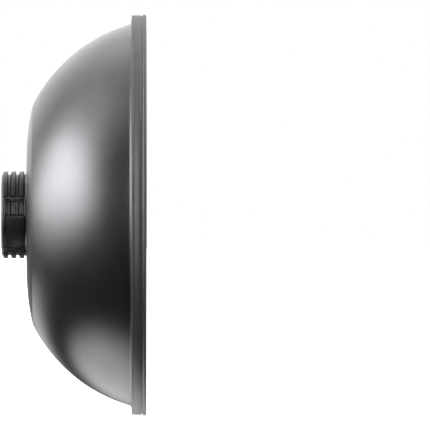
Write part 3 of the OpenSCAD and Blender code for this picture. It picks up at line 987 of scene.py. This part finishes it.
class REFLECTOR_OT_metalwork(Operator):
    """Give the parts that keep their CAD shape their finishes"""

    bl_idname = "reflector.metalwork"
    bl_label = "Finish metalwork"

    kept = {
        "white_enamel": ["support_rod_1", "support_rod_2", "support_rod_3"],
        "bare_steel": ["rim_wire", "clamp_band", "base_rivets"],
        "black_steel": ["rod_screws", "catch_plate", "catch_rivets", "lever_pin", "bail"],
        "neck_metal": ["mount_sleeve", "lock_ring"],
    }

    def execute(self, context):
        for finish, nodes in self.kept.items():
            for node in nodes:
                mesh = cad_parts[node].data
                mesh.materials.clear()
                mesh.materials.append(MATERIALS[finish])
        return {"FINISHED"}


class REFLECTOR_OT_stage(Operator):
    """Set the floor, the soft light all round and the camera"""

    bl_idname = "reflector.stage"
    bl_label = "Set stage"

    # Soft lights as (azimuth, elevation, inner and outer half angle, strength). Azimuth is counted
    # from -X towards the latch side, -Y, and all angles are in degrees.
    lights = (
        (-1, 4, 6, 37, 8.2),
        (0, 36, 4, 30, 1.5),
        (-90, 30, 10, 62, 1.7),
        (0, 90, 15, 60, 0.8),
        (90, 8, 4, 30, 3.2),
        (180, 44, 8, 34, 2.0),
        (180, 5, 10, 60, 0.3),
    )
    ambient = 0.02

    # Cards of light on the floor as (x, y, inner and outer radius in metres, strength)
    cards = (
        (0.095, -0.075, 0.04, 0.16, 2.1),
        (-0.25, 0.55, 0.15, 0.5, 1.6),
        (0.3, 4.0, 0.6, 1.7, 1.8),
        (-2.6, -0.1, 0.5, 1.75, 3.0),
        (0.95, 0.1, 0.5, 0.85, 1.5),
    )
    floor_glow = 0.03
    floor_gap = 0.5 * MM
    floor_radius = 40

    lens = 516
    camera_place = (0.166, -8.0, 0.0)
    camera_turn = math.radians(-0.79)

    def sum_of(self, tree, levels):
        """All light levels added together."""
        total = levels[0]
        for level in levels[1:]:
            total = math_node(tree, "ADD", total, level)
        return total

    def near(self, tree, value, inner, outer, strength):
        """Falls smoothly from the strength at the inner limit to nothing at the outer one."""
        node = add(
            tree, "ShaderNodeMapRange",
            {"Value": value, "From Min": outer, "From Max": inner, "To Min": 0.0, "To Max": strength},
            interpolation_type="SMOOTHSTEP",
        )
        return node.outputs["Result"]

    def sky(self):
        """Soft lights all round, and plain white where the camera sees past the object."""
        world = bpy.data.worlds.new("studio")
        world.use_nodes = True
        tree = world.node_tree
        tree.nodes.clear()
        looking = tree.nodes.new("ShaderNodeTexCoord").outputs["Generated"]
        levels = []
        for azimuth, elevation, inner, outer, strength in self.lights:
            a, e = math.radians(azimuth), math.radians(elevation)
            aim = (-math.cos(e) * math.cos(a), -math.cos(e) * math.sin(a), math.sin(e))
            turned = add(
                tree, "ShaderNodeVectorMath", {0: looking, 1: aim}, operation="DOT_PRODUCT",
            ).outputs["Value"]
            limits = (math.cos(math.radians(inner)), math.cos(math.radians(outer)))
            levels.append(self.near(tree, turned, *limits, strength))
        level = math_node(tree, "ADD", self.sum_of(tree, levels), self.ambient)
        soft = add(tree, "ShaderNodeBackground", {"Color": (1, 1, 1, 1), "Strength": level})
        white = add(tree, "ShaderNodeBackground", {"Color": (1, 1, 1, 1), "Strength": 1.0})
        seen = tree.nodes.new("ShaderNodeLightPath").outputs["Is Camera Ray"]
        mixed = add(
            tree, "ShaderNodeMixShader", {0: seen, 1: soft.outputs[0], 2: white.outputs[0]},
        )
        out = tree.nodes.new("ShaderNodeOutputWorld")
        tree.links.new(mixed.outputs[0], out.inputs["Surface"])
        bpy.context.scene.world = world

    def floor(self, height):
        """A plain pale floor lifted to near white by a glow for the camera, and glowing with cards of light that
        only the object sees.
        """
        bm = bmesh.new()
        bmesh.ops.create_circle(bm, cap_ends=True, segments=96, radius=self.floor_radius)
        bmesh.ops.translate(bm, verts=bm.verts, vec=(0, 0, height))
        piece = piece_from(bm, "studio_floor")
        material = bpy.data.materials.new("floor_white")
        material.use_nodes = True
        tree = material.node_tree
        tree.nodes.remove(tree.nodes["Principled BSDF"])
        place = object_coordinates(tree)
        levels = []
        for x, y, inner, outer, strength in self.cards:
            away = add(
                tree, "ShaderNodeVectorMath", {0: place, 1: (x, y, height)}, operation="DISTANCE",
            ).outputs["Value"]
            levels.append(self.near(tree, away, inner, outer, strength))
        level = math_node(tree, "ADD", self.sum_of(tree, levels), self.floor_glow)
        glow = add(tree, "ShaderNodeEmission", {"Color": (1, 1, 1, 1), "Strength": level})
        pale = add(tree, "ShaderNodeBsdfDiffuse", {"Color": (0.8, 0.8, 0.8, 1)})
        lift = add(tree, "ShaderNodeEmission", {"Color": (1, 1, 1, 1), "Strength": 0.86})
        shown = add(tree, "ShaderNodeAddShader", {0: pale.outputs[0], 1: lift.outputs[0]})
        seen = tree.nodes.new("ShaderNodeLightPath").outputs["Is Camera Ray"]
        mixed = add(
            tree, "ShaderNodeMixShader", {0: seen, 1: glow.outputs[0], 2: shown.outputs[0]},
        )
        tree.links.new(mixed.outputs[0], tree.nodes["Material Output"].inputs["Surface"])
        piece.data.materials.append(material)

    def camera(self):
        """A long lens, level with the lamp axis and nearly square to it."""
        data = bpy.data.cameras.new("camera")
        data.sensor_width = 36
        data.lens = self.lens
        data.clip_end = 200
        camera = bpy.data.objects.new("camera", data)
        camera.location = self.camera_place
        camera.rotation_euler = (math.pi / 2, 0, self.camera_turn)
        bpy.context.scene.collection.objects.link(camera)
        bpy.context.scene.camera = camera

    def execute(self, context):
        self.floor(-HOOP_HIGH.z - self.floor_gap)
        self.sky()
        self.camera()
        bpy.context.scene.view_settings.view_transform = "Standard"
        return {"FINISHED"}


class REFLECTOR_PT_panel(Panel):
    """Lists the operators and the sizes in the sidebar"""

    bl_label = "Reflector"
    bl_idname = "REFLECTOR_PT_panel"
    bl_space_type = "VIEW_3D"
    bl_region_type = "UI"
    bl_category = "Reflector"

    def draw(self, context):
        for operator in OPERATORS:
            self.layout.operator(operator.bl_idname)
        for name, group in SETTINGS.items():
            box = self.layout.box()
            for key in group.__annotations__:
                box.prop(getattr(context.scene, name), key)


OPERATORS = (
    REFLECTOR_OT_finishes,
    REFLECTOR_OT_dish,
    REFLECTOR_OT_hoop,
    REFLECTOR_OT_deflector,
    REFLECTOR_OT_collar,
    REFLECTOR_OT_latch,
    REFLECTOR_OT_screws,
    REFLECTOR_OT_metalwork,
    REFLECTOR_OT_stage,
)
SETTINGS = {
    "reflector_dish": DishSizes,
    "reflector_hoop": HoopSizes,
    "reflector_collar": CollarSizes,
    "reflector_screws": ScrewSizes,
    "reflector_finishes": Finishes,
}


def register():
    for cls in (*SETTINGS.values(), *OPERATORS, REFLECTOR_PT_panel):
        bpy.utils.register_class(cls)
    for name, group in SETTINGS.items():
        setattr(bpy.types.Scene, name, PointerProperty(type=group))


def unregister():
    for name in SETTINGS:
        delattr(bpy.types.Scene, name)
    for cls in reversed((*SETTINGS.values(), *OPERATORS, REFLECTOR_PT_panel)):
        bpy.utils.unregister_class(cls)


def main():
    """Builds every piece and the stage."""
    register()
    for operator in OPERATORS:
        family, name = operator.bl_idname.split(".")
        getattr(getattr(bpy.ops, family), name)()


if __name__ == "__main__":
    main()
